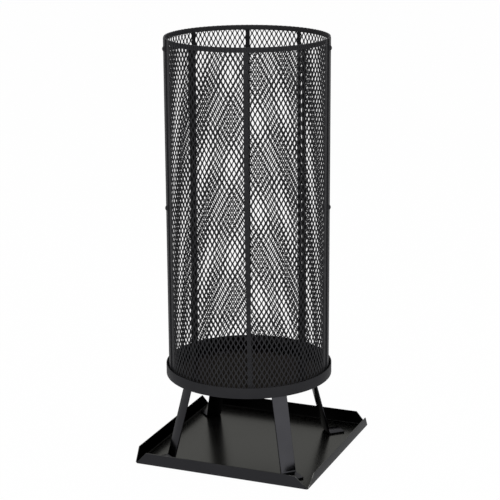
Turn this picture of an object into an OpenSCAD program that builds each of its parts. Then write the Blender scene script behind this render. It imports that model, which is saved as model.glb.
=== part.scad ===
// Ash bin of the burning-basket kind: a tall mesh basket in two bolted halves
// stands in a round dish on four splayed legs, and the legs stand in a square ash tray.
// Millimetres, +Z up. The origin is on the ground under the middle of the tray,
// whose sides run along X and Y. Directions round the part are angles from -Y towards +X.

/* [Basket] */
// Outer diameter of the mesh
basket_d = 300; // [240:1:360]
// Height of the basket
basket_h = 630; // [480:1:800]
// Thickness of the mesh over its strands
mesh_t = 1.5; // [1:0.1:2.5]
// Pitch of the diamonds round the basket
cell_w = 36; // [30:1:60]
// Pitch of the diamonds up the basket
cell_h = 64; // [50:1:100]
// Width of the strands between the diamonds
strand_w = 5; // [3:0.5:8]
// Height of the hoops
hoop_h = 9; // [6:0.5:16]
// Width of the uprights
upright_w = 8; // [6:0.5:16]
// Thickness of the hoops, the uprights and the inner seam strips
bar_t = 2; // [1.5:0.5:5]
// Angle from the front's middle upright to the one on its left
front_left_step = 41.5; // [34:0.5:50]
// Angle from the front's middle upright to the one on its right
front_right_step = 42; // [34:0.5:50]
// Angle from the rear's middle upright to the one on the basket's left
rear_left_step = 44; // [34:0.5:60]
// Angle from the rear's middle upright to the one on the basket's right
rear_right_step = 42; // [34:0.5:60]

/* [Seams] */
// Angle from the front's middle to the middle of the inner seam strips
seam_angle = 74.5; // [70:0.5:80]
// Width of the inner seam strips
strip_w = 30; // [24:1:40]
// Width over which the inner and the outer strips lap, where the bolts go through
bolt_lap = 15; // [14:0.5:20]
// Reach of the outer seam strips past the inner ones, onto the rear hoops
strip_lap = 8; // [4:1:16]
// Thickness of the outer seam strips
strip_t = 2; // [1.5:0.1:4]
// Shank diameter of the seam bolts
seam_bolt_d = 6; // [4:0.5:6]
// Length of the seam bolts under the head
seam_bolt_l = 12; // [11:1:25]
// Diameter of the seam bolts' domed heads
seam_head_d = 11; // [9:0.5:13]
// Height of the seam bolts' domed heads
seam_head_h = 3.5; // [2:0.5:4]
// Width of the seam nuts across flats
seam_nut_w = 10; // [8:0.5:11]
// Height of the seam nuts
seam_nut_h = 5; // [3:0.5:6]
// Distance of the top bolts from the basket's top edge
seam_bolt_top = 18; // [9:1:40]
// Height of the middle bolts above the basket's bottom edge
seam_bolt_mid = 322; // [200:1:400]

/* [Dish] */
// Height of the dish rim
rim_h = 20; // [12:1:40]
// Thickness of the dish rim
rim_t = 2; // [2:0.5:5]
// Thickness of the dish floor
floor_t = 2; // [1.5:0.1:4]

/* [Legs] */
// Height of the legs, from the tray's floor to the dish
leg_h = 147.5; // [100:0.5:220]
// Width of the legs' flat bar
leg_w = 30; // [26:1:40]
// Thickness of the legs' flat bar
leg_t = 3; // [2:0.5:5]
// Radius at which the legs meet the dish
leg_top_r = 125; // [95:1:135]
// Outward run of the legs, from the dish to their feet
leg_splay = 39; // [20:1:60]
// Length of the feet
foot_l = 32; // [20:1:50]
// Length of the flanges at the legs' tops
flange_l = 30; // [24:1:40]
// Inside radius of the legs' bends
leg_bend = 3; // [2:0.5:6]
// Shank diameter of the leg bolts
leg_bolt_d = 6; // [5:0.5:8]
// Length of the leg bolts under the head
leg_bolt_l = 13; // [12:1:20]
// Diameter of the leg bolts' domed heads
leg_head_d = 11; // [10:0.5:13]
// Height of the leg bolts' domed heads
leg_head_h = 3; // [2:0.5:4]
// Width of the leg nuts across flats
leg_nut_w = 10; // [8:0.5:11]
// Height of the leg nuts
leg_nut_h = 5; // [3:0.5:6]
// Distance between the two bolts of a leg
leg_bolt_gap = 15; // [14:0.5:18]

/* [Tray] */
// Space from the feet to the tray's walls
tray_margin = 21.5; // [21:0.5:40]
// Height of the tray's walls
tray_h = 25; // [15:1:40]
// Outward lean of the tray's walls
tray_lean = 8; // [0:1:15]
// Thickness of the tray's sheet
tray_t = 1.5; // [1:0.1:3]
// Inside radius of the tray's bends
tray_bend = 1.5; // [1:0.5:4]
// Length cut off each end of the walls' top edges
corner_cut = 24; // [10:1:30]

/* [Placement] */
// Offset of the stand in the tray along X
stand_shift_x = -8.5; // [-11:0.5:11]
// Offset of the stand in the tray along Y
stand_shift_y = -6.5; // [-11:0.5:11]
// Turn of the stand from the tray's diagonals
stand_turn = 2.7; // [-3:0.1:3]
// Turn of the basket from the tray's front
basket_turn = 22.1; // [-45:0.1:45]
// Turn of the right rear leg from its diagonal
rear_right_turn = -4.7; // [-6:0.1:6]
// Distance of the right rear leg in from the others
rear_right_in = 4; // [0:0.5:6]
// Distance of the left front leg in from the others
front_left_in = 2.5; // [0:0.5:6]

/* [Clearances] */
// Gap under the feet and under the basket, which both only rest
rest_gap = 0.3; // [0.1:0.1:1]
// Gap between the basket's seam strips and the dish rim
rim_gap = 2.7; // [1:0.1:6]
// Gap left by the weld between two rounded faces
weld_gap = 0.1; // [0.05:0.05:0.3]
// Gap between the ends of the two halves
seam_gap = 0.5; // [0.2:0.1:2]
// Clearance on diameter of a bolt in its hole
hole_gap = 0.5; // [0.3:0.1:1]
// Clearance on diameter of a bolt in its nut
thread_gap = 0.1; // [0.05:0.05:0.3]

/* [Hidden] */
$fn = 96;

// Extra length of a cutting body past the faces it cuts
over = 1;
// Steps in the arc of a bend
bend_steps = 8;
// Places of the legs: a direction, and a shift outwards along it
leg_places = [
  [-45, -front_left_in], [45, 0], [135 + rear_right_turn, -rear_right_in], [225, 0]
];
sides = [-1, 1];

// Radii of the basket, from the mesh inwards
mesh_r = basket_d / 2;
mesh_in_r = mesh_r - mesh_t;
bar_r = mesh_in_r - weld_gap;
bar_in_r = bar_r - bar_t;
strip_r = mesh_in_r + strip_t;
// The flat uprights touch the mesh with their outer edges
upright_r = sqrt(bar_r * bar_r - upright_w * upright_w / 4);
// Angles covered by the seam strips
strip_half = arc_deg(strip_w / 2, mesh_r);
lap_angle = arc_deg(strip_lap, mesh_r);
gap_angle = arc_deg(seam_gap, mesh_r);
inner_start = seam_angle - strip_half;
inner_end = seam_angle + strip_half;
outer_start = inner_end - arc_deg(bolt_lap, mesh_r);
outer_end = inner_end + lap_angle;
bolt_angle = (outer_start + inner_end) / 2;

// Heights
stand_z = tray_t + rest_gap;
dish_z = stand_z + leg_h;
floor_top = dish_z + floor_t;
basket_z = floor_top + rest_gap;
seam_bolt_zs = [seam_bolt_mid, basket_h - seam_bolt_top];

// Dish
rim_in_r = strip_r + rim_gap;
rim_r = rim_in_r + rim_t;

// Legs, along the middle of their flat bar
foot_r = leg_top_r + leg_splay;
foot_end_r = foot_r + foot_l;
leg_slope = atan2(leg_t - leg_h, leg_splay);
leg_bend_mid = leg_bend + leg_t / 2;
leg_bolt_r = leg_top_r - flange_l / 2;

// Tray
foot_reach = (foot_end_r + leg_w / 2) * cos(45);
tray_side = 2 * (foot_reach + tray_margin);
tray_bend_r = tray_bend + tray_t;
tray_rise = 90 - tray_lean;

// Seat of a nut's flat face inside a round wall
seam_nut_r = seam_nut_w / 2 / cos(30);
seam_nut_seat = sqrt(bar_in_r * bar_in_r - seam_nut_r * seam_nut_r);

function arc_deg(length, radius) = length / radius * 180 / PI;
function heading(a) = [cos(a), sin(a)];
function left_of(a) = [-sin(a), cos(a)];

// One side of a bend: a path turns from heading a to heading b at corner p with radius r,
// and the side runs at distance d to the left of the path
function bend_side(p, a, b, r, d) =
  let (s = sign(b - a), c = p - heading(a) * r * tan(abs(b - a) / 2) + left_of(a) * s * r)
  [for (i = [0 : bend_steps]) let (h = a + (b - a) * i / bend_steps) c - left_of(h) * s * (r - s * d)];

function reversed(list) = [for (i = [len(list) - 1 : -1 : 0]) list[i]];

// Placing
module on_stand() {
  translate([stand_shift_x, stand_shift_y, 0])
    rotate([0, 0, stand_turn])
      children();
}

module on_basket() {
  translate([stand_shift_x, stand_shift_y, basket_z])
    rotate([0, 0, basket_turn])
      children();
}

// Turns +X to the given direction round the part
module towards(direction) {
  rotate([0, 0, direction - 90])
    children();
}

// Puts +Z along the axis of a seam bolt, pointing out of the basket
module along_seam_bolt(direction, z) {
  towards(direction)
    translate([0, 0, z])
      rotate([0, 90, 0])
        children();
}

module at_seam_bolts() {
  for (side = sides)
    for (z = seam_bolt_zs)
      along_seam_bolt(side * bolt_angle, z)
        children();
}

module at_leg(place) {
  towards(place[0])
    translate([place[1], 0, 0])
      children();
}

module at_leg_bolts(place) {
  for (side = sides)
    at_leg(place)
      translate([leg_bolt_r, side * leg_bolt_gap / 2, 0])
        children();
}

// Shared shapes
module ring_sector(inner, outer, height, start, end) {
  towards(start)
    rotate_extrude(angle = end - start)
      translate([inner, 0])
        square([outer - inner, height]);
}

// Domed bolt whose head seats on z = 0 and whose shank points down
module domed_bolt(shank_d, shank_l, head_d, head_h) {
  dome_r = (head_d * head_d / 4 + head_h * head_h) / (2 * head_h);
  translate([0, 0, -shank_l])
    cylinder(d = shank_d, h = shank_l);
  intersection() {
    translate([0, 0, head_h - dome_r])
      sphere(r = dome_r);
    cylinder(d = head_d, h = head_h);
  }
}

// Hexagon nut hanging down from z = 0
module hex_nut(flats, height, shank_d) {
  difference() {
    translate([0, 0, -height])
      cylinder(r = flats / 2 / cos(30), h = height, $fn = 6);
    translate([0, 0, -height - over])
      cylinder(d = shank_d + thread_gap, h = height + 2 * over);
  }
}

// Tray: one folded sheet with corners cut open
module tray_wall() {
  side = tray_side / 2;
  mid = tray_bend + tray_t / 2;
  corner = [side - tray_t / 2, tray_t / 2];
  edge = corner + heading(tray_rise) * (tray_h - corner[1]) / sin(tray_rise);
  across = left_of(tray_rise) * tray_t / 2;
  floor_start = side - tray_bend_r - over;
  outline = concat(
    [[floor_start, tray_t]], bend_side(corner, 0, tray_rise, mid, tray_t / 2), [edge + across],
    [edge - across], reversed(bend_side(corner, 0, tray_rise, mid, -tray_t / 2)), [[floor_start, 0]]
  );
  base = side - tray_bend_r;
  cut = (corner_cut - tray_bend_r) / (tray_h - tray_bend_r);
  top_z = tray_h + over;
  top = base - cut * (top_z - tray_bend_r);
  intersection() {
    rotate([90, 0, 0])
      linear_extrude(tray_side, center = true)
        polygon(outline);
    rotate([90, 0, 90])
      linear_extrude(tray_side)
        polygon([
          [-base, 0], [base, 0], [base, tray_bend_r],
          [top, top_z], [-top, top_z], [-base, tray_bend_r]
        ]);
  }
}

module ash_tray() {
  flat = tray_side - 2 * tray_bend_r;
  color([0.16, 0.16, 0.17])
    union() {
      translate([-flat / 2, -flat / 2, 0])
        cube([flat, flat, tray_t]);
      for (direction = [0 : 90 : 270])
        towards(direction)
          tray_wall();
    }
}

// Stand: dish and legs
module dish_floor() {
  color([0.11, 0.11, 0.12])
    on_stand()
      difference() {
        translate([0, 0, dish_z])
          cylinder(r = rim_in_r - weld_gap, h = floor_t);
        for (place = leg_places)
          at_leg_bolts(place)
            translate([0, 0, dish_z - over])
              cylinder(d = leg_bolt_d + hole_gap, h = floor_t + 2 * over);
      }
}

module dish_rim() {
  color([0.14, 0.14, 0.15])
    on_stand()
      translate([0, 0, dish_z])
        difference() {
          cylinder(r = rim_r, h = rim_h);
          translate([0, 0, -over])
            cylinder(r = rim_in_r, h = rim_h + 2 * over);
        }
}

// One flat bar bent twice: flange under the dish, sloping leg, foot on the tray
module leg(place) {
  half = leg_t / 2;
  top = [leg_top_r, dish_z - half];
  foot = [foot_r, stand_z + half];
  flange_end = [leg_top_r - flange_l, top[1]];
  foot_end = [foot_end_r, foot[1]];
  upper = concat(
    [flange_end + [0, half]], bend_side(top, 0, leg_slope, leg_bend_mid, half),
    bend_side(foot, leg_slope, 0, leg_bend_mid, half), [foot_end + [0, half]]
  );
  lower = concat(
    [flange_end - [0, half]], bend_side(top, 0, leg_slope, leg_bend_mid, -half),
    bend_side(foot, leg_slope, 0, leg_bend_mid, -half), [foot_end - [0, half]]
  );
  color([0.16, 0.16, 0.17])
    on_stand()
      difference() {
        at_leg(place)
          rotate([90, 0, 0])
            linear_extrude(leg_w, center = true)
              polygon(concat(upper, reversed(lower)));
        at_leg_bolts(place)
          translate([0, 0, dish_z - leg_t - over])
            cylinder(d = leg_bolt_d + hole_gap, h = leg_t + 2 * over);
      }
}

module leg_front_left() { leg(leg_places[0]); }
module leg_front_right() { leg(leg_places[1]); }
module leg_rear_right() { leg(leg_places[2]); }
module leg_rear_left() { leg(leg_places[3]); }

module leg_bolts() {
  color([0.12, 0.12, 0.13])
    on_stand()
      for (place = leg_places)
        at_leg_bolts(place)
          translate([0, 0, floor_top])
            domed_bolt(leg_bolt_d, leg_bolt_l, leg_head_d, leg_head_h);
}

module leg_nuts() {
  color([0.12, 0.12, 0.13])
    on_stand()
      for (place = leg_places)
        at_leg_bolts(place)
          translate([0, 0, dish_z - leg_t])
            hex_nut(leg_nut_w, leg_nut_h, leg_bolt_d);
}

// Basket: two halves of mesh on hoops and uprights
// Sheet with staggered diamonds, whole at the hoops
module mesh_half(start, end) {
  columns = max(2, round((end - start) / arc_deg(cell_w, mesh_r)));
  rows = max(2, round((basket_h - 2 * hoop_h) / cell_h));
  step = (end - start) / columns;
  rise = (basket_h - 2 * hoop_h) / rows;
  half_w = step * PI / 180 * mesh_r / 2;
  half_h = rise / 2;
  open = 1 - strand_w / 2 * norm([half_w, half_h]) / (half_w * half_h);
  color([0.13, 0.13, 0.14])
    on_basket()
      difference() {
        ring_sector(mesh_in_r, mesh_r, basket_h, start, end);
        for (shift = [0.5, 1])
          for (i = [0 : columns - 2 * shift])
            for (j = [0 : rows - 2 * shift])
              towards(start + (i + shift) * step)
                translate([mesh_in_r - over, 0, hoop_h + (j + shift) * rise])
                  rotate([90, 0, 90])
                    linear_extrude(mesh_t + 2 * over)
                      polygon(open * [[half_w, 0], [0, half_h], [-half_w, 0], [0, -half_h]]);
      }
}

module hoop(z, start, end) {
  color([0.13, 0.13, 0.14])
    on_basket()
      translate([0, 0, z])
        ring_sector(bar_in_r, bar_r, hoop_h, start, end);
}

module upright(direction) {
  color([0.13, 0.13, 0.14])
    on_basket()
      towards(direction)
        translate([upright_r - bar_t, -upright_w / 2, hoop_h])
          cube([bar_t, upright_w, basket_h - 2 * hoop_h]);
}

// Strip along a seam, drilled for its bolts
module seam_strip(inner, outer, start, end) {
  color([0.13, 0.13, 0.14])
    on_basket()
      difference() {
        ring_sector(inner, outer, basket_h, start, end);
        at_seam_bolts()
          translate([0, 0, inner - bar_t])
            cylinder(d = seam_bolt_d + hole_gap, h = outer - inner + 2 * bar_t);
      }
}

module front_mesh() { mesh_half(-inner_start + gap_angle, inner_start - gap_angle); }
module front_top_hoop() { hoop(basket_h - hoop_h, -inner_start, inner_start); }
module front_bottom_hoop() { hoop(0, -inner_start, inner_start); }
module front_upright_left() { upright(-front_left_step); }
module front_upright_middle() { upright(0); }
module front_upright_right() { upright(front_right_step); }
module front_seam_strip_left() { seam_strip(bar_in_r, bar_r, -inner_end, -inner_start); }
module front_seam_strip_right() { seam_strip(bar_in_r, bar_r, inner_start, inner_end); }

module rear_mesh() { mesh_half(outer_end, 360 - outer_end); }
module rear_top_hoop() { hoop(basket_h - hoop_h, inner_end + gap_angle, 360 - inner_end - gap_angle); }
module rear_bottom_hoop() { hoop(0, inner_end + gap_angle, 360 - inner_end - gap_angle); }
module rear_upright_left() { upright(180 + rear_left_step); }
module rear_upright_middle() { upright(180); }
module rear_upright_right() { upright(180 - rear_right_step); }
module rear_seam_strip_left() { seam_strip(mesh_in_r, strip_r, -outer_end, -outer_start); }
module rear_seam_strip_right() { seam_strip(mesh_in_r, strip_r, outer_start, outer_end); }

module seam_bolts() {
  color([0.12, 0.12, 0.13])
    on_basket()
      at_seam_bolts()
        translate([0, 0, strip_r])
          domed_bolt(seam_bolt_d, seam_bolt_l, seam_head_d, seam_head_h);
}

module seam_nuts() {
  color([0.12, 0.12, 0.13])
    on_basket()
      at_seam_bolts()
        translate([0, 0, seam_nut_seat])
          hex_nut(seam_nut_w, seam_nut_h, seam_bolt_d);
}

ash_tray();
dish_floor();
dish_rim();
leg_front_left();
leg_front_right();
leg_rear_left();
leg_rear_right();
leg_bolts();
leg_nuts();
front_mesh();
front_top_hoop();
front_bottom_hoop();
front_upright_left();
front_upright_middle();
front_upright_right();
front_seam_strip_left();
front_seam_strip_right();
rear_mesh();
rear_top_hoop();
rear_bottom_hoop();
rear_upright_left();
rear_upright_middle();
rear_upright_right();
rear_seam_strip_left();
rear_seam_strip_right();
seam_bolts();
seam_nuts();
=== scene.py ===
import math

import bpy
import bmesh
import numpy as np
from mathutils import Matrix, Vector


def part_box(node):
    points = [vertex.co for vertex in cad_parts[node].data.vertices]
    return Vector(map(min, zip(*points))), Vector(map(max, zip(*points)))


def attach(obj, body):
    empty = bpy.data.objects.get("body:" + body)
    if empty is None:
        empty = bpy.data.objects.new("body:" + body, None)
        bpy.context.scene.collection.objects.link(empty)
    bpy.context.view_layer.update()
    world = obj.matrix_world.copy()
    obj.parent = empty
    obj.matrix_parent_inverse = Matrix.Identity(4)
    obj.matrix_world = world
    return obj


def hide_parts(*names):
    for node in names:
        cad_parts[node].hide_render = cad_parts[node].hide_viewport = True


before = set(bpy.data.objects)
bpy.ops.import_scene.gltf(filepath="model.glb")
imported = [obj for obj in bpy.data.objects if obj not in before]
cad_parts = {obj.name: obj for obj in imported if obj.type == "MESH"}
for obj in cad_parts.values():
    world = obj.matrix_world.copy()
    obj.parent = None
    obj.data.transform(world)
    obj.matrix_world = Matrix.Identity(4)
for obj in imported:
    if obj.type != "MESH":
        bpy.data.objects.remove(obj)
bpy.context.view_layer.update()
mm = 0.001
print("frame loaded")


# Places read from the frame, in metres

def middleOf(node):
    # half way between the two corners of a node's box
    low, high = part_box(node)
    return np.array((low + high) / 2)


def heightsOf(node):
    # a node's lowest and highest point
    low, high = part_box(node)
    return low.z, high.z


axis = middleOf("dish_rim")[:2]                      # the basket's and the dish's upright axis
axisFoot = np.array([*axis, 0.0])
dishBottom, rimTop = heightsOf("dish_rim")
floorTop = heightsOf("dish_floor")[1]
basketBottom, basketTop = heightsOf("front_seam_strip_left")
up = np.array([0.0, 0.0, 1.0])


def bearingOf(node):
    # direction of a node's middle from the axis, in radians from -Y towards +X
    x, y = middleOf(node)[:2] - axis
    return math.atan2(x, -y)


def radiusOf(node):
    # level distance of a node's middle from the axis
    return math.hypot(*(middleOf(node)[:2] - axis))


def facing(bearing):
    # level unit vectors at a bearing, or at each of several: straight out from the axis, and across
    level = np.zeros_like(bearing)
    out = np.stack([np.sin(bearing), -np.cos(bearing), level], -1)
    across = np.stack([np.cos(bearing), np.sin(bearing), level], -1)
    return out, across


basketFront = bearingOf("front_upright_middle")


# Meshes from arrays

mergeWithin = 1e-7                                   # points closer than this, in metres, become one
drawShare = 0.999                                    # of a bar's edge, by which its ends are drawn in


def aroundAxis(angle, radius, z):
    # angle from -Y towards +X, radius and height to a point beside the axis
    angle, radius, z = np.broadcast_arrays(angle, radius, z)
    return np.stack([axis[0] + radius * np.sin(angle), axis[1] - radius * np.cos(angle), z], -1)


def gridQuads(rows, cols, wrapCols=True, wrapRows=False):
    # one quad for each cell of a grid of points that are numbered row by row
    r = np.arange(rows if wrapRows else rows - 1)[:, None]
    c = np.arange(cols if wrapCols else cols - 1)[None, :]
    rNext, cNext = (r + 1) % rows, (c + 1) % cols
    corners = [r * cols + c, r * cols + cNext, rNext * cols + cNext, rNext * cols + c]
    return np.stack(corners, -1).reshape(-1, 4)


def closedTube(points):
    # points[row, col]: closed round in cols, with a flat cap on the first and the last row
    rows, cols = points.shape[:2]
    caps = [np.arange(cols)[::-1], (rows - 1) * cols + np.arange(cols)]
    return points.reshape(-1, 3), gridQuads(rows, cols), caps


def closedRing(points):
    # points[row, col]: closed round in rows and in cols
    return points.reshape(-1, 3), gridQuads(*points.shape[:2], wrapRows=True), []


def joined(parts):
    # several sets of points, quads and caps as one, with the point numbers counted on
    points, quads, caps, count = [], [], [], 0
    for p, q, c in parts:
        points.append(p)
        quads.append(q + count)
        caps.extend(cap + count for cap in c)
        count += len(p)
    return np.concatenate(points), np.concatenate(quads), caps


def makePiece(name, points, quads, caps=(), sharpAngle=35, outward=True):
    # a mesh object from arrays; outward merges doubles and turns the faces to the outside
    corners = np.concatenate([quads.ravel(), *caps]).astype(np.int32)
    sizes = np.concatenate([np.full(len(quads), 4), [len(c) for c in caps]]).astype(np.int32)
    mesh = bpy.data.meshes.new(name)
    mesh.vertices.add(len(points))
    mesh.vertices.foreach_set("co", np.asarray(points, np.float32).ravel())
    mesh.loops.add(len(corners))
    mesh.loops.foreach_set("vertex_index", corners)
    mesh.polygons.add(len(sizes))
    mesh.polygons.foreach_set("loop_start", np.concatenate([[0], np.cumsum(sizes)[:-1]]).astype(np.int32))
    mesh.update(calc_edges=True)
    if outward:
        work = bmesh.new()
        work.from_mesh(mesh)
        bmesh.ops.remove_doubles(work, verts=work.verts, dist=mergeWithin)
        bmesh.ops.recalc_face_normals(work, faces=work.faces)
        work.to_mesh(mesh)
        work.free()
    mesh.shade_smooth()
    mesh.set_sharp_from_angle(angle=math.radians(sharpAngle))
    piece = bpy.data.objects.new(name, mesh)
    bpy.context.scene.collection.objects.link(piece)
    return piece


def place(piece, body, slot, material, *replaced):
    # paint a piece, and say which body it rides on and which CAD nodes it stands for
    piece.data.materials.append(material)
    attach(piece, body)
    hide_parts(*replaced)


def barOutline(width, thick, edge, steps=4):
    # a flat bar's section: straight sides joined by four quarter rounds, in steps points each
    turn = np.radians(np.arange(4)[:, None] * 90 + np.linspace(0, 90, steps)[None, :])
    corner = np.array([[1, 1], [-1, 1], [-1, -1], [1, -1]]) * [width / 2 - edge, thick / 2 - edge]
    return (corner[:, None, :] + edge * np.stack([np.cos(turn), np.sin(turn)], -1)).reshape(-1, 2)


def rowsAlong(start, end, count, edge):
    # count places from start to end, and one more where the rounded edge of each end begins
    inside = np.linspace(start, end, count)[1:-1]
    return np.array([start, start + edge, *inside, end - edge, end])


def endsDrawnIn(outline, rows, edge):
    # the same outline on every row, with the first and the last drawn in for rounded ends, by just under the
    # edge, so that no two points of a thin bar fall together
    drawn = outline - drawShare * edge * np.sign(outline)
    return np.stack([drawn, *[outline] * (rows - 2), drawn])


# Paint: one class wraps a socket, so that sums of wires add Math nodes

class Wire:
    def __init__(self, tree, socket=None):
        self.tree, self.socket = tree, socket

    def node(self, kind, settings=None, inputs=None, out=0):
        # a new node with its settings, then the values or links of its sockets; gives the wire from out
        made = self.tree.nodes.new("ShaderNode" + kind)
        for key, value in (settings or {}).items():
            setattr(made, key, value)
        for key, value in (inputs or {}).items():
            if isinstance(value, Wire):
                self.tree.links.new(value.socket, made.inputs[key])
            else:
                made.inputs[key].default_value = value
        return Wire(self.tree, made.outputs[out] if made.outputs else None)

    def math(self, operation, a, b):
        return self.node("Math", {"operation": operation}, {0: a, 1: b})

    def __add__(self, other):
        return self.math("ADD", self, other)

    def __radd__(self, other):
        return self.math("ADD", other, self)

    def __sub__(self, other):
        return self.math("SUBTRACT", self, other)

    def __rsub__(self, other):
        return self.math("SUBTRACT", other, self)

    def __mul__(self, other):
        return self.math("MULTIPLY", self, other)

    def __rmul__(self, other):
        return self.math("MULTIPLY", other, self)

    def mixed(self, share, none, full):
        # a colour that goes from none to full with the share
        return self.node("Mix", {"data_type": "RGBA"}, {0: share, 6: none, 7: full}, 2)

    def clipped(self):
        # held between nought and one
        return self.node("MapRange", {"clamp": True}, {0: self, 1: 0.0, 2: 1.0, 3: 0.0, 4: 1.0})


# shiny paint on the tray, legs and dish floor, satin on the basket and rim, and a darker, duller copy of the
# satin as painted shade on the uprights
shinyLook = {
    "dark": (0.022, 0.022, 0.024, 1), "light": (0.030, 0.030, 0.033, 1),
    "cloudScale": 25.0, "cloudDetail": 4.0, "peelScale": 700.0, "peelDetail": 2.0, "peelDepth": 0.006 * mm,
    "rough": 0.20, "roughSpread": 0.05, "metal": 1.0, "gloss": 0.5, "edgeTint": (0.6, 0.6, 0.6, 1),
    # the last two entries give the tone of the painted shade on faces that look in at the middle, and how far
    # out it comes in full
    "paintedShade": (0.026, 0.026, 0.028, 1), "paintedShadeFade": 100 * mm,
}
satinLook = {
    "dark": (0.0155, 0.0155, 0.0170, 1), "light": (0.0215, 0.0215, 0.0235, 1),
    "cloudScale": 25.0, "cloudDetail": 4.0, "peelScale": 700.0, "peelDetail": 2.0, "peelDepth": 0.010 * mm,
    "rough": 0.55, "roughSpread": 0.08, "metal": 0.0, "gloss": 0.05, "edgeTint": (1.0, 1.0, 1.0, 1),
    # the last two entries give the tone of the painted shade on faces that look in at the middle, and how far
    # out it comes in full
    "paintedShade": (0.0185, 0.0185, 0.0200, 1), "paintedShadeFade": 100 * mm,
}
# satin paint with near-black painted shade on its inward faces
shadedSatinLook = {**satinLook, "paintedShade": (0.002, 0.002, 0.002, 1)}
# painted shade: a darker, duller copy of the satin paint for the uprights that face away from the key lamp
shadedUprightLook = {
    **satinLook, "dark": (0.004, 0.004, 0.004, 1), "light": (0.007, 0.007, 0.007, 1), "gloss": 0.02,
    "paintedShade": (0.012, 0.012, 0.013, 1),
}
dishPaintLook = {
    **shinyLook, "dark": (0.012, 0.0118, 0.0115, 1), "light": (0.017, 0.0167, 0.0162, 1), "rough": 0.21,
    "edgeTint": (0.495, 0.487, 0.478, 1),
}
# the tray's paint has near-black painted shade on inward faces and painted light, a lighter tone, on faces
# that look up
trayPaintLook = {
    **shinyLook, "cloudScale": 9.0, "rough": 0.22, "edgeTint": (0.46, 0.46, 0.46, 1),
    "paintedShade": (0.003, 0.003, 0.003, 1), "paintedTopLight": (0.089, 0.089, 0.084, 1),
}


def blackPaint(name, look):
    # near-black paint with faint clouds in its tone and gloss and a fine orange peel, with painted shade on
    # the faces that look in at the middle
    material = bpy.data.materials.new(name)
    material.use_nodes = True
    tree = material.node_tree
    tree.nodes.clear()
    wire = Wire(tree)
    where = wire.node("TexCoord", out="Object")
    normal = wire.node("TexCoord", out="Normal")
    cloud, peel = (
        wire.node("TexNoise", None, {
            "Vector": where, "Scale": look[grain + "Scale"], "Detail": look[grain + "Detail"]}, "Fac")
        for grain in ("cloud", "peel"))
    tone = wire.mixed(cloud, look["dark"], look["light"])
    if "paintedTopLight" in look:
        # painted light: a lighter tone where the faces look up
        upward = wire.node("SeparateXYZ", None, {0: normal}, "Z")
        tone = wire.mixed(upward.clipped(), tone, look["paintedTopLight"])
    # painted shade: a darker tone where the faces look in at the middle, in full from the look's fade
    # distance outwards
    inward = -1 / look["paintedShadeFade"]
    toMiddle = wire.node("VectorMath", {"operation": "MULTIPLY"}, {0: where, 1: (inward, inward, 0.0)})
    lookingIn = wire.node("VectorMath", {"operation": "DOT_PRODUCT"}, {0: normal, 1: toMiddle}, "Value")
    tone = wire.mixed(lookingIn.clipped(), tone, look["paintedShade"])
    rough = look["rough"] + (cloud - 0.5) * look["roughSpread"]
    bump = wire.node("Bump", None, {"Height": peel * look["peelDepth"], "Strength": 1.0, "Distance": 1.0})
    shader = wire.node("BsdfPrincipled", None, {
        "Base Color": tone, "Roughness": rough, "Normal": bump, "Metallic": look["metal"],
        "Specular IOR Level": look["gloss"], "Specular Tint": look["edgeTint"]})
    wire.node("OutputMaterial", None, {"Surface": shader})
    return material


sheetPaint = blackPaint("paintedSheet", trayPaintLook)
dishPaint = blackPaint("paintedDish", dishPaintLook)
legPaint = blackPaint("paintedLeg", shinyLook)
barPaint = blackPaint("paintedBar", satinLook)
# painted shade on the inward faces of the bottom hoops and the dish rim
shadedLowBarPaint = blackPaint("shadedLowBar", shadedSatinLook)
# painted shade for the uprights that face away from the key lamp
shadedUprightPaint = blackPaint("shadedUpright", shadedUprightLook)
meshPaint = blackPaint("paintedMesh", {**satinLook, "cloudScale": 40.0})
boltPaint = blackPaint("paintedBolt", {**satinLook, "cloudScale": 150.0})
print("paint mixed")


# Seams, as angles from the middle of the front half

seamLook = {
    "angle": math.radians(74.5), "stripWidth": 30 * mm, "boltLap": 15 * mm, "reach": 8 * mm, "gap": 0.5 * mm,
    "outerThick": 2 * mm, "radius": 150 * mm,
}
stripHalf = seamLook["stripWidth"] / 2 / seamLook["radius"]
gapAngle = seamLook["gap"] / seamLook["radius"]
innerStart, innerEnd = seamLook["angle"] - stripHalf, seamLook["angle"] + stripHalf
outerStart = innerEnd - seamLook["boltLap"] / seamLook["radius"]
outerEnd = innerEnd + seamLook["reach"] / seamLook["radius"]
boltAngle = (outerStart + innerEnd) / 2


# Expanded mesh: strands run up the wall side by side and swing to each neighbour in turn

meshLook = {"inner": 148.5 * mm, "thick": 0.9 * mm, "strand": 2.1 * mm, "bond": 2.4 * mm, "overlap": 0.12}
frontSheet = {
    "pitchAcross": 9.258 * mm, "pitchUp": 16.222 * mm, "holeAlong": -0.15 * mm, "holeHigh": 472.09 * mm,
    "climb": 0.0080, "columnLean": -0.0017,
}
rearSheet = {
    "pitchAcross": 9.301 * mm, "pitchUp": 16.287 * mm, "holeAlong": -0.91 * mm, "holeHigh": 464.42 * mm,
    "climb": 0.0107, "columnLean": 0.0027,
}


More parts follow.
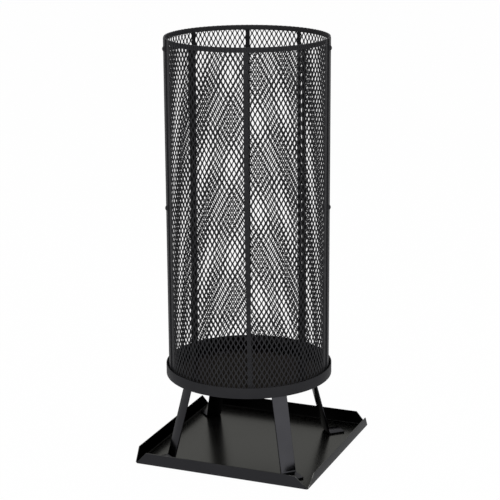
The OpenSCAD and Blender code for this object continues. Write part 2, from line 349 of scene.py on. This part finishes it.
def expandedHalf(name, start, end, sheet):
    # strand k stands at first + k * spacing along the wall and swings by side(z), a trapezoid wave of one
    # pitch up the wall that is level over each bond, with opposite signs on neighbours, so that they lie
    # against each other at every second bond; the pattern climbs a little along the sheet, and leans a little
    radius = meshLook["inner"] + meshLook["thick"] / 2
    strand, bond, rise = meshLook["strand"], meshLook["bond"], sheet["pitchUp"]
    reach = (end - start) / 2 * radius - strand / 2
    spacing = sheet["pitchAcross"] / 2
    swing = spacing / 2 - strand * (0.5 - meshLook["overlap"])
    first = sheet["holeAlong"] - 1.5 * spacing       # a hole's middle lies half way between two strands
    k = np.arange(math.floor((-reach - first) / spacing), math.ceil((reach - first) / spacing) + 1)[:, None]
    stand = first + k * spacing
    base = sheet["holeHigh"] + sheet["climb"] * stand
    lowest = math.ceil((basketBottom + bond - base.min()) / rise * 2)
    highest = math.floor((basketTop - bond - base.max()) / rise * 2)
    bends = np.arange(lowest, highest + 1)[:, None] * rise / 2 + np.array([-0.5, 0.5]) * bond
    ends = np.ones_like(base)
    z = np.concatenate([basketBottom * ends, base + bends.ravel(), basketTop * ends], 1)
    turns = (z - base) / rise
    fromHole = np.abs(turns - np.round(turns))
    level = bond / 2 / rise
    side = np.clip(1 - 2 * (fromHole - level) / (0.5 - 2 * level), -1, 1) * np.where(k % 2 == 0, 1, -1)
    along = stand + swing * side + sheet["columnLean"] * (z - sheet["holeHigh"])
    along = np.clip(along, -reach, reach)
    section = np.array([[-1, -1], [-1, 1], [1, 1], [1, -1]]) * [strand / 2, meshLook["thick"] / 2]
    angle = basketFront + (start + end) / 2 + (along[..., None] + section[:, 0]) / radius
    points = aroundAxis(angle, radius + section[:, 1], z[..., None])
    count, rows, cols = points.shape[:3]
    tips = np.array([np.arange(cols)[::-1], (rows - 1) * cols + np.arange(cols)])
    faces = np.concatenate([gridQuads(rows, cols), tips])
    faces = (faces[None] + (np.arange(count) * rows * cols)[:, None, None]).reshape(-1, 4)
    return makePiece(name, points.reshape(-1, 3), faces, outward=False)


frontMesh = expandedHalf("frontMesh", -innerStart + gapAngle, innerStart - gapAngle, frontSheet)
place(frontMesh, "basket", "black_mesh", meshPaint, "front_mesh")
rearMesh = expandedHalf("rearMesh", outerEnd, 2 * math.pi - outerEnd, rearSheet)
place(rearMesh, "basket", "black_mesh", meshPaint, "rear_mesh")
print("mesh drawn", len(frontMesh.data.polygons), len(rearMesh.data.polygons))


# Hoops, uprights and seam strips

barLook = {
    "thick": 2 * mm, "edge": 0.5 * mm, "weldGap": 0.1 * mm, "uprightWidth": 8 * mm,
    "hoopRows": 72, "wallRows": 17, "faceCols": 11,
}
barOuter = meshLook["inner"] - barLook["weldGap"]
barInner = barOuter - barLook["thick"]


def hoop(name, node, start, end, paint):
    # a bar's section carried round the axis, with drawn-in ends
    low, high = heightsOf(node)
    radius = barOuter - barLook["thick"] / 2
    angles = rowsAlong(start, end, barLook["hoopRows"], barLook["edge"] / radius)
    outline = barOutline(barLook["thick"], high - low, barLook["edge"])
    outlines = endsDrawnIn(outline, len(angles), barLook["edge"])
    z = (low + high) / 2 + outlines[..., 1]
    points = aroundAxis(basketFront + angles[:, None], radius + outlines[..., 0], z)
    place(makePiece(name, *closedTube(points)), "basket", "black_bar", paint, node)


rearEnds = innerEnd + gapAngle, 2 * math.pi - innerEnd - gapAngle
# the bottom hoops get the paint with near-black painted shade on their inward faces
for level, paint in (("top", barPaint), ("bottom", shadedLowBarPaint)):
    hoop("frontHoop_" + level, f"front_{level}_hoop", -innerStart, innerStart, paint)
    hoop("rearHoop_" + level, f"rear_{level}_hoop", *rearEnds, paint)


# how far along the wall each upright's foot and head stand from straight, as hand welding left them, and how
# far its middle bows out past a line between the two
uprightLean = {
    "front_upright_left": {"foot": -5.0 * mm, "head": -1.0 * mm, "bow": 2.5 * mm},
    "front_upright_middle": {"foot": 2.9 * mm, "head": -2.1 * mm, "bow": -2.2 * mm},
    "front_upright_right": {"foot": 1.5 * mm, "head": -1.0 * mm, "bow": 0.4 * mm},
    "rear_upright_left": {"foot": 0.0, "head": -4.4 * mm, "bow": 0.0},
    "rear_upright_middle": {"foot": 0.0, "head": -1.1 * mm, "bow": 0.0},
    "rear_upright_right": {"foot": -2.5 * mm, "head": 3.4 * mm, "bow": 0.4 * mm},
}


def upright(name, node, paint):
    # a bar's section carried up the wall; at a share s of the height it stands aside from straight by
    # foot * (1 - s) + head * s + bow * 4 * s * (1 - s)
    low, high = heightsOf(node)
    edge = barLook["edge"]
    z = rowsAlong(low, high, barLook["wallRows"], edge)
    radius = radiusOf(node)
    share, look = (z - low) / (high - low), uprightLean[node]
    lean = look["foot"] * (1 - share) + look["head"] * share + look["bow"] * 4 * share * (1 - share)
    out, across = facing(bearingOf(node) + lean[:, None] / radius)
    outlines = endsDrawnIn(barOutline(barLook["uprightWidth"], barLook["thick"], edge), len(z), edge)
    middle = axisFoot + z[:, None, None] * up + radius * out
    points = middle + outlines[..., :1] * across + outlines[..., 1:] * out
    place(makePiece(name, *closedTube(points)), "basket", "black_bar", paint, node)


for half in ("front", "rear"):
    for spot in ("left", "middle", "right"):
        # painted shade: every upright but the front middle one, which faces the key lamp, gets the darker,
        # duller paint
        facesKeyLamp = half == "front" and spot == "middle"
        upright(f"{half}Upright_{spot}", f"{half}_upright_{spot}", barPaint if facesKeyLamp else shadedUprightPaint)


def seamStrip(name, node, inner, thick, start, end):
    # a curved bar's section, its width bent round the axis, carried straight up
    radius = inner + thick / 2
    edge = barLook["edge"]
    z = rowsAlong(basketBottom, basketTop, barLook["wallRows"], edge)
    width = (end - start) * radius
    rounds = np.split(barOutline(width, thick, edge), 4)
    flat = np.linspace(edge - width / 2, width / 2 - edge, barLook["faceCols"])[1:-1]
    outFace = np.stack([flat[::-1], np.full_like(flat, thick / 2)], -1)
    inFace = np.stack([flat, np.full_like(flat, -thick / 2)], -1)
    outline = np.concatenate([rounds[0], outFace, rounds[1], rounds[2], inFace, rounds[3]])
    outlines = endsDrawnIn(outline, len(z), edge)
    angles = basketFront + (start + end) / 2 + outlines[..., 0] / radius
    points = aroundAxis(angles, radius + outlines[..., 1], z[:, None])
    place(makePiece(name, *closedTube(points)), "basket", "black_bar", barPaint, node)


seamStrip("innerStrip_left", "front_seam_strip_left", barInner, barLook["thick"], -innerEnd, -innerStart)
seamStrip("innerStrip_right", "front_seam_strip_right", barInner, barLook["thick"], innerStart, innerEnd)
wall, thick = meshLook["inner"], seamLook["outerThick"]
seamStrip("outerStrip_left", "rear_seam_strip_left", wall, thick, -outerEnd, -outerStart)
seamStrip("outerStrip_right", "rear_seam_strip_right", wall, thick, outerStart, outerEnd)
print("bars drawn")


# Dish

dishLook = {
    "rimThick": 2 * mm, "rimEdge": 0.6 * mm, "floorGap": 0.1 * mm, "floorEdge": 0.4 * mm, "floorRings": 8,
    "steps": 180,
}
dishTurns = np.arange(dishLook["steps"])[:, None] * 2 * math.pi / dishLook["steps"]
rimOuter = (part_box("dish_rim")[1].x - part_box("dish_rim")[0].x) / 2
rimInner = rimOuter - dishLook["rimThick"]
# the rim is a flat bar's section carried right round the axis
rimOutline = barOutline(dishLook["rimThick"], rimTop - dishBottom, dishLook["rimEdge"])
rimOutline = rimOutline + [(rimOuter + rimInner) / 2, (rimTop + dishBottom) / 2]
rimPoints = aroundAxis(dishTurns, rimOutline[:, 0], rimOutline[:, 1])
# the rim gets the paint with near-black painted shade on its inward face
place(makePiece("dishRim", *closedRing(rimPoints)), "stand", "black_bar", shadedLowBarPaint, "dish_rim")

# the floor is the outer half of a plate's section, from the axis along the underside, round the edge and back
# along the top, turned about the axis
plateRadius = rimInner - dishLook["floorGap"]
plateThick = floorTop - dishBottom
plateRounds = np.split(barOutline(2 * plateRadius, plateThick, dishLook["floorEdge"]), 4)
rings = np.linspace(plateRadius - dishLook["floorEdge"], 0, dishLook["floorRings"] + 1)[1:]
underside = np.stack([rings[::-1], np.full_like(rings, -plateThick / 2)], -1)
topside = np.stack([rings, np.full_like(rings, plateThick / 2)], -1)
plate = np.concatenate([underside, plateRounds[3], plateRounds[0], topside])
platePoints = aroundAxis(dishTurns, plate[:, 0], (floorTop + dishBottom) / 2 + plate[:, 1])
plateQuads = gridQuads(*platePoints.shape[:2], wrapCols=False, wrapRows=True)
dishFloor = makePiece("dishFloor", platePoints.reshape(-1, 3), plateQuads)
place(dishFloor, "stand", "black_sheet", dishPaint, "dish_floor")


# Legs

legLook = {
    "width": 30 * mm, "thick": 3 * mm, "edge": 0.6 * mm, "bend": 4.5 * mm, "splay": 39 * mm, "foot": 32 * mm,
    "flange": 30 * mm, "bendSteps": 9,
}
legs = [f"leg_{end}_{spot}" for end in ("front", "rear") for spot in ("left", "right")]


def topRadiusOf(node):
    # where a leg meets the dish: the node's middle less half of what its foot reaches past its flange
    return radiusOf(node) - (legLook["splay"] + legLook["foot"] - legLook["flange"]) / 2


def leg(node):
    # the bar's section carried along a path of three straight runs joined by two arcs
    look = legLook
    low, high = heightsOf(node)
    half = look["thick"] / 2
    topRadius = topRadiusOf(node)
    footRadius = topRadius + look["splay"]
    corners = np.array([[topRadius - look["flange"], high - half], [topRadius, high - half],
                        [footRadius, low + half], [footRadius + look["foot"], low + half]])
    runs = np.diff(corners, axis=0)
    turns = np.arctan2(runs[:, 1], runs[:, 0])
    unit = np.stack([np.cos(turns), np.sin(turns)], -1)
    stops = [corners[0], corners[0] + unit[0] * look["edge"]]
    headings = [turns[0], turns[0]]
    for i in (1, 2):
        way = np.sign(turns[i] - turns[i - 1])
        inset = look["bend"] * math.tan(abs(turns[i] - turns[i - 1]) / 2)
        left = np.array([-unit[i - 1][1], unit[i - 1][0]])
        centre = corners[i] - unit[i - 1] * inset + way * look["bend"] * left
        arc = np.linspace(turns[i - 1], turns[i], look["bendSteps"])
        stops.extend(centre - way * look["bend"] * np.stack([-np.sin(arc), np.cos(arc)], -1))
        headings.extend(arc)
    stops.extend([corners[3] - unit[2] * look["edge"], corners[3]])
    headings.extend([turns[2], turns[2]])
    stops, headings = np.array(stops), np.array(headings)
    out, across = facing(bearingOf(node))
    normals = -np.sin(headings)[:, None] * out + np.cos(headings)[:, None] * up
    centres = axisFoot + stops[:, :1] * out + stops[:, 1:] * up
    outlines = endsDrawnIn(barOutline(look["width"], look["thick"], look["edge"]), len(stops), look["edge"])
    points = centres[:, None] + outlines[..., :1] * across + outlines[..., 1:] * normals[:, None]
    place(makePiece(node + "_bar", *closedTube(points)), "stand", "black_bar", legPaint, node)


for node in legs:
    leg(node)
print("stand drawn")


# Ash tray: a flat sheet with four folded walls, whose ends are cut back towards the top

trayLook = {
    "height": 25 * mm, "thick": 1.5 * mm, "bend": 1.5 * mm, "slope": math.radians(82), "cornerCut": 24 * mm,
    "bendSteps": 8, "cells": 24, "edge": 0.3 * mm, "edgeSteps": 2, "edgeAngle": math.radians(50),
}


def traySheet(look):
    # the sheet's middle surface: a square of floor, and on each side a wall that follows an arc and then a
    # straight line up; a row at height z is half(z) = base - cut * (z - bent) long to each side of its middle
    thick, slope = look["thick"], look["slope"]
    run = (look["height"] - thick / 2) / math.tan(slope)
    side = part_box("ash_tray")[1].x + thick / 2 - run - thick / 2 * math.sin(slope)
    bent = look["bend"] + thick
    base = side - bent
    cut = (look["cornerCut"] - bent) / (look["height"] - bent)
    radius = look["bend"] + thick / 2
    arc = np.linspace(0, slope, look["bendSteps"] + 1)
    start = side - thick / 2 - radius * math.tan(slope / 2)
    away = np.array([base, *(start + radius * np.sin(arc)), side - thick / 2 + run])
    z = np.array([thick / 2, *(thick / 2 + radius * (1 - np.cos(arc))), look["height"]])
    half = base - cut * np.maximum(z - bent, 0)
    share = np.linspace(-1, 1, look["cells"] + 1)
    x, y = np.meshgrid(share * base, share * base, indexing="ij")
    floorPoints = np.stack([x, y, np.full_like(x, thick / 2)], -1).reshape(-1, 3)
    parts = [(floorPoints, gridQuads(len(share), len(share), wrapCols=False), [])]
    for bearing in np.arange(4) * math.pi / 2:
        out, across = facing(bearing)
        wall = away[:, None, None] * out + (half[:, None] * share)[..., None] * across + z[:, None, None] * up
        parts.append((wall.reshape(-1, 3), gridQuads(len(z), len(share), wrapCols=False), []))
    return joined(parts)


ashTray = makePiece("ashTray", *traySheet(trayLook))
wallThick = ashTray.modifiers.new("sheet", "SOLIDIFY")
wallThick.thickness = trayLook["thick"]
wallThick.offset = 0
wallThick.use_even_offset = True
wallEdge = ashTray.modifiers.new("edge", "BEVEL")
wallEdge.width = trayLook["edge"]
wallEdge.segments = trayLook["edgeSteps"]
wallEdge.limit_method = "ANGLE"
wallEdge.angle_limit = trayLook["edgeAngle"]
wallEdge.harden_normals = True
place(ashTray, "tray", "black_sheet", sheetPaint, "ash_tray")
print("tray folded")


# Bolts and nuts

boltLook = {
    "shank": 6 * mm, "pitch": 1.0 * mm, "threadDeep": 0.45 * mm, "headWide": 11 * mm, "turns": 48,
    "rowsPerPitch": 6, "headRows": 9, "crownAngle": 0.02,
}
legBoltLook = {"length": 13 * mm, "headHigh": 3 * mm, "gap": 15 * mm}
seamBoltLook = {"length": 12 * mm, "headHigh": 3.5 * mm, "fromTop": 18 * mm, "middle": 322 * mm}
nutLook = {
    "flats": 10 * mm, "high": 5 * mm, "bore": 6.1 * mm, "endShare": 0.95, "coneShare": 0.2, "coneRows": 5,
    "coneAngle": math.radians(30),
}
boltTurns = np.arange(boltLook["turns"]) * 2 * math.pi / boltLook["turns"]
sixthTurn = math.pi / 3


def turned(rows, heights, seat, along, side, other):
    # rows of radii at heights along a line from the seat, turned about that line
    ring = np.cos(boltTurns)[:, None] * side + np.sin(boltTurns)[:, None] * other
    return seat + rows[..., None] * ring + np.asarray(heights)[:, None, None] * along


def bolt(look, seat, along, side, other):
    # the thread's radius falls by a cosine of the height less the turn, with a cone at the tip, and the head
    # is a ball's cap: its radius and height go by the sine and cosine of the angle from the crown
    length, high, wide = look["length"], look["headHigh"], boltLook["headWide"] / 2
    z = np.linspace(-length, 0, round(boltLook["rowsPerPitch"] * length / boltLook["pitch"]) + 1)
    wave = np.cos(2 * math.pi * z[:, None] / boltLook["pitch"] - boltTurns)
    shank = boltLook["shank"] / 2 - boltLook["threadDeep"] * (0.5 - 0.5 * wave)
    tip = boltLook["shank"] / 2 - boltLook["threadDeep"] + (z + length)
    ball = (wide ** 2 + high ** 2) / (2 * high)
    fromCrown = np.linspace(math.asin(wide / ball), boltLook["crownAngle"], boltLook["headRows"])[:, None]
    cap = ball * np.sin(fromCrown) * np.ones_like(boltTurns)
    rows = np.concatenate([np.minimum(shank, tip[:, None]), cap])
    heights = np.concatenate([z, (high - ball + ball * np.cos(fromCrown)).ravel()])
    return closedTube(turned(rows, heights, seat, along, side, other))


def nut(seat, along, side, other):
    # the outer radius is the smaller of a hexagon's, half the flats over the cosine of the turn from the
    # nearest flat, and a cone's, which starts inside the flats at each end and widens at coneAngle
    flats, high, cone = nutLook["flats"], nutLook["high"], nutLook["coneShare"]
    shares = np.linspace(0, cone, nutLook["coneRows"]), np.linspace(1 - cone, 1, nutLook["coneRows"])
    depths = np.concatenate(shares) * high
    hexRadius = flats / 2 / np.cos(boltTurns % sixthTurn - sixthTurn / 2)
    fromEnd = np.minimum(depths, high - depths)
    coneRadius = nutLook["endShare"] * flats / 2 + fromEnd / math.tan(nutLook["coneAngle"])
    inner = np.full((2, len(boltTurns)), nutLook["bore"] / 2)
    rows = np.concatenate([np.minimum(hexRadius, coneRadius[:, None]), inner])
    heights = -np.concatenate([depths, depths[[-1, 0]]])
    return closedRing(turned(rows, heights, seat, along, side, other))


legBolts, legNuts, seamBolts, seamNuts = [], [], [], []
for node in legs:
    out, across = facing(bearingOf(node))
    radius = topRadiusOf(node) - legLook["flange"] / 2
    flangeBottom = heightsOf(node)[1] - legLook["thick"]
    for sign in (-1, 1):
        hole = axisFoot + radius * out + sign * legBoltLook["gap"] / 2 * across
        legBolts.append(bolt(legBoltLook, hole + floorTop * up, up, out, across))
        legNuts.append(nut(hole + flangeBottom * up, up, out, across))
headSeat = meshLook["inner"] + seamLook["outerThick"]
nutCorner = nutLook["flats"] / 2 / math.cos(sixthTurn / 2)
nutSeat = math.sqrt(barInner ** 2 - nutCorner ** 2)  # a nut's corners touch the curved strip
for sign in (-1, 1):
    out, across = facing(basketFront + sign * boltAngle)
    for z in (basketBottom + seamBoltLook["middle"], basketTop - seamBoltLook["fromTop"]):
        level = axisFoot + z * up
        seamBolts.append(bolt(seamBoltLook, level + headSeat * out, out, up, across))
        seamNuts.append(nut(level + nutSeat * out, out, up, across))
place(makePiece("legBolts", *joined(legBolts)), "stand", "black_fastener", boltPaint, "leg_bolts")
place(makePiece("legNuts", *joined(legNuts)), "stand", "black_fastener", boltPaint, "leg_nuts")
place(makePiece("seamBolts", *joined(seamBolts)), "basket", "black_fastener", boltPaint, "seam_bolts")
place(makePiece("seamNuts", *joined(seamNuts)), "basket", "black_fastener", boltPaint, "seam_nuts")
print("bolts set")


# Camera at the photograph's angle

cameraLook = {
    "lens": 118.964, "sensor": 36.0, "place": (1.10625, -2.73556, 1.18738), "down": 15.230, "turn": 22.1558,
    "roll": -0.326, "farthest": 100.0,
}
cameraData = bpy.data.cameras.new("camera")
cameraData.lens = cameraLook["lens"]
cameraData.sensor_width = cameraLook["sensor"]
cameraData.clip_end = cameraLook["farthest"]
camera = bpy.data.objects.new("camera", cameraData)
bpy.context.scene.collection.objects.link(camera)
camera.matrix_world = (
    Matrix.Translation(cameraLook["place"])
    @ Matrix.Rotation(math.radians(cameraLook["turn"]), 4, "Z")
    @ Matrix.Rotation(math.radians(90 - cameraLook["down"]), 4, "X")
    @ Matrix.Rotation(math.radians(cameraLook["roll"]), 4, "Z")
)
bpy.context.scene.camera = camera


# Floor, world and lamps

studioLook = {
    "floorSize": 30.0, "floorHigh": -0.2 * mm, "floorTone": (0.8, 0.8, 0.8, 1), "floorWhite": 0.985,
    "worldLight": 0.55, "lampAim": 0.4,
}


def seenDirectly(wire):
    # one for rays that show the background itself, straight, in a gloss or through something clear
    path = wire.node("LightPath")
    sockets = path.socket.node.outputs
    kinds = ("Is Camera Ray", "Is Glossy Ray", "Is Transmission Ray")
    straight, glossy, through = (Wire(wire.tree, sockets[kind]) for kind in kinds)
    return (straight + glossy + through).clipped()


# the floor is matt to the light, so that it keeps a shadow, and nearly white to the eye
floorMaterial = bpy.data.materials.new("paleFloor")
floorMaterial.use_nodes = True
floorMaterial.node_tree.nodes.clear()
wire = Wire(floorMaterial.node_tree)
matt = wire.node("BsdfDiffuse", None, {"Color": studioLook["floorTone"]})
white = wire.node("Emission", None, {"Color": (1, 1, 1, 1), "Strength": 1.0})
shown = seenDirectly(wire) * studioLook["floorWhite"]
wire.node("OutputMaterial", None, {"Surface": wire.node("MixShader", None, {0: shown, 1: matt, 2: white})})
edgeAt = studioLook["floorSize"] / 2
floorPoints = np.array([[-edgeAt, -edgeAt], [edgeAt, -edgeAt], [edgeAt, edgeAt], [-edgeAt, edgeAt]])
floorPoints = np.pad(floorPoints, ((0, 0), (0, 1)), constant_values=studioLook["floorHigh"])
floor = makePiece("floor", floorPoints, np.array([[0, 1, 2, 3]]), outward=False)
floor.data.materials.append(floorMaterial)

# the world is white where it is seen and dimmer where it lights
world = bpy.data.worlds.new("studio")
world.use_nodes = True
world.node_tree.nodes.clear()
bpy.context.scene.world = world
wire = Wire(world.node_tree)
strength = studioLook["worldLight"] + seenDirectly(wire) * (1 - studioLook["worldLight"])
sky = wire.node("Background", None, {"Color": (1, 1, 1, 1), "Strength": strength})
wire.node("OutputWorld", None, {"Surface": sky})

lampLook = {
    "key": {"place": (0.2, -3.0, 1.2), "size": 1.6, "power": 45.0},
    "fill": {"place": (2.8, -0.85, 0.9), "size": 2.8, "power": 27.0},
    "top": {"place": (0.0, 0.3, 3.2), "size": 2.0, "power": 25.0},
}
for lampName, look in lampLook.items():
    lampData = bpy.data.lights.new(lampName, "AREA")
    lampData.shape = "DISK"
    lampData.size = look["size"]
    lampData.energy = look["power"]
    lamp = bpy.data.objects.new(lampName, lampData)
    bpy.context.scene.collection.objects.link(lamp)
    aim = Vector(look["place"]) - Vector((*axis, studioLook["lampAim"]))
    lamp.rotation_mode = "QUATERNION"
    lamp.rotation_quaternion = aim.to_track_quat("Z", "Y")
    lamp.location = look["place"]

bpy.context.scene.view_settings.view_transform = "Standard"
print("studio lit")
